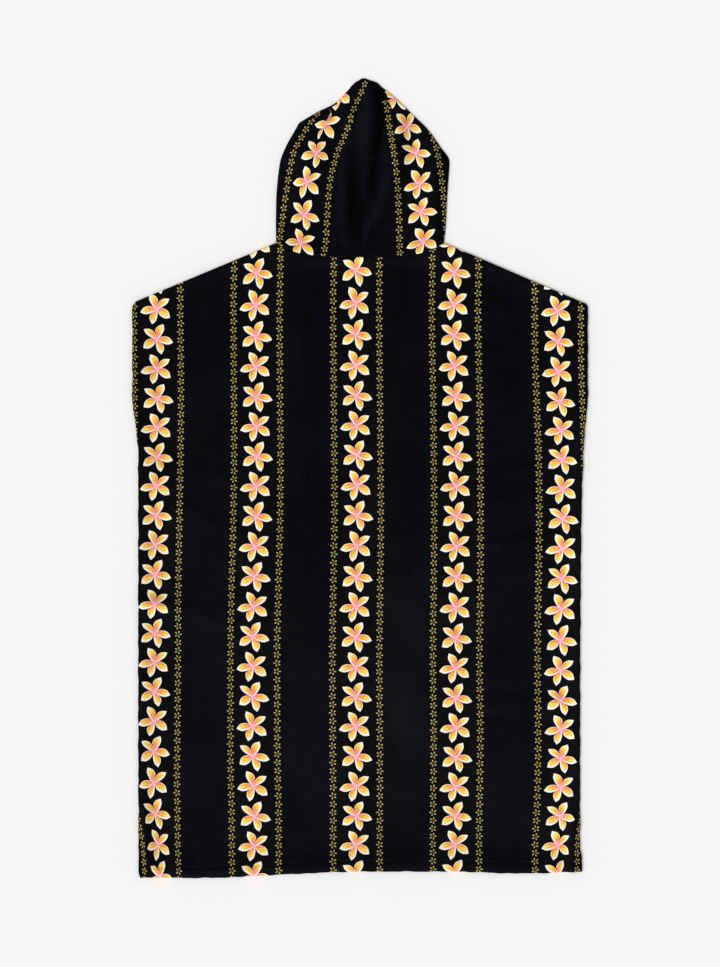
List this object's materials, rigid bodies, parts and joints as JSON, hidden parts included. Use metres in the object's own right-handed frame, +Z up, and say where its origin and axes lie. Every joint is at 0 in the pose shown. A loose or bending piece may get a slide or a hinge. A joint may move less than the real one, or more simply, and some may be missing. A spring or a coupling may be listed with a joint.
{
  "type": "hooded bath poncho",
  "caption": "Hooded bath poncho of printed cotton velour, laid flat with its back up: a square-cut body with sloped shoulders and wide armholes, and a hood that lies above the neck.",
  "frame": {"origin": "the middle of the garment's outline, on the surface that it lies on", "axes": "+Y from the hem towards the hood, +Z up from the surface towards the back of the garment, +X to the wearer's right side"},
  "size_m": [0.752, 1.3197, 0.0075],
  "materials": {
    "printed_velour": "matte cotton velour, black, printed with stripes of frangipani blossoms between fine gold chains of blossoms",
    "terry_inside": "uncut terry loops, black, on the inside of the cloth",
    "sewing_thread": "black polyester sewing thread"
  },
  "bodies": {
    "root": {"back_panel": "printed_velour", "front_panel": "printed_velour", "hood_left": "printed_velour", "hood_right": "printed_velour"}
  },
  "joints": []
}
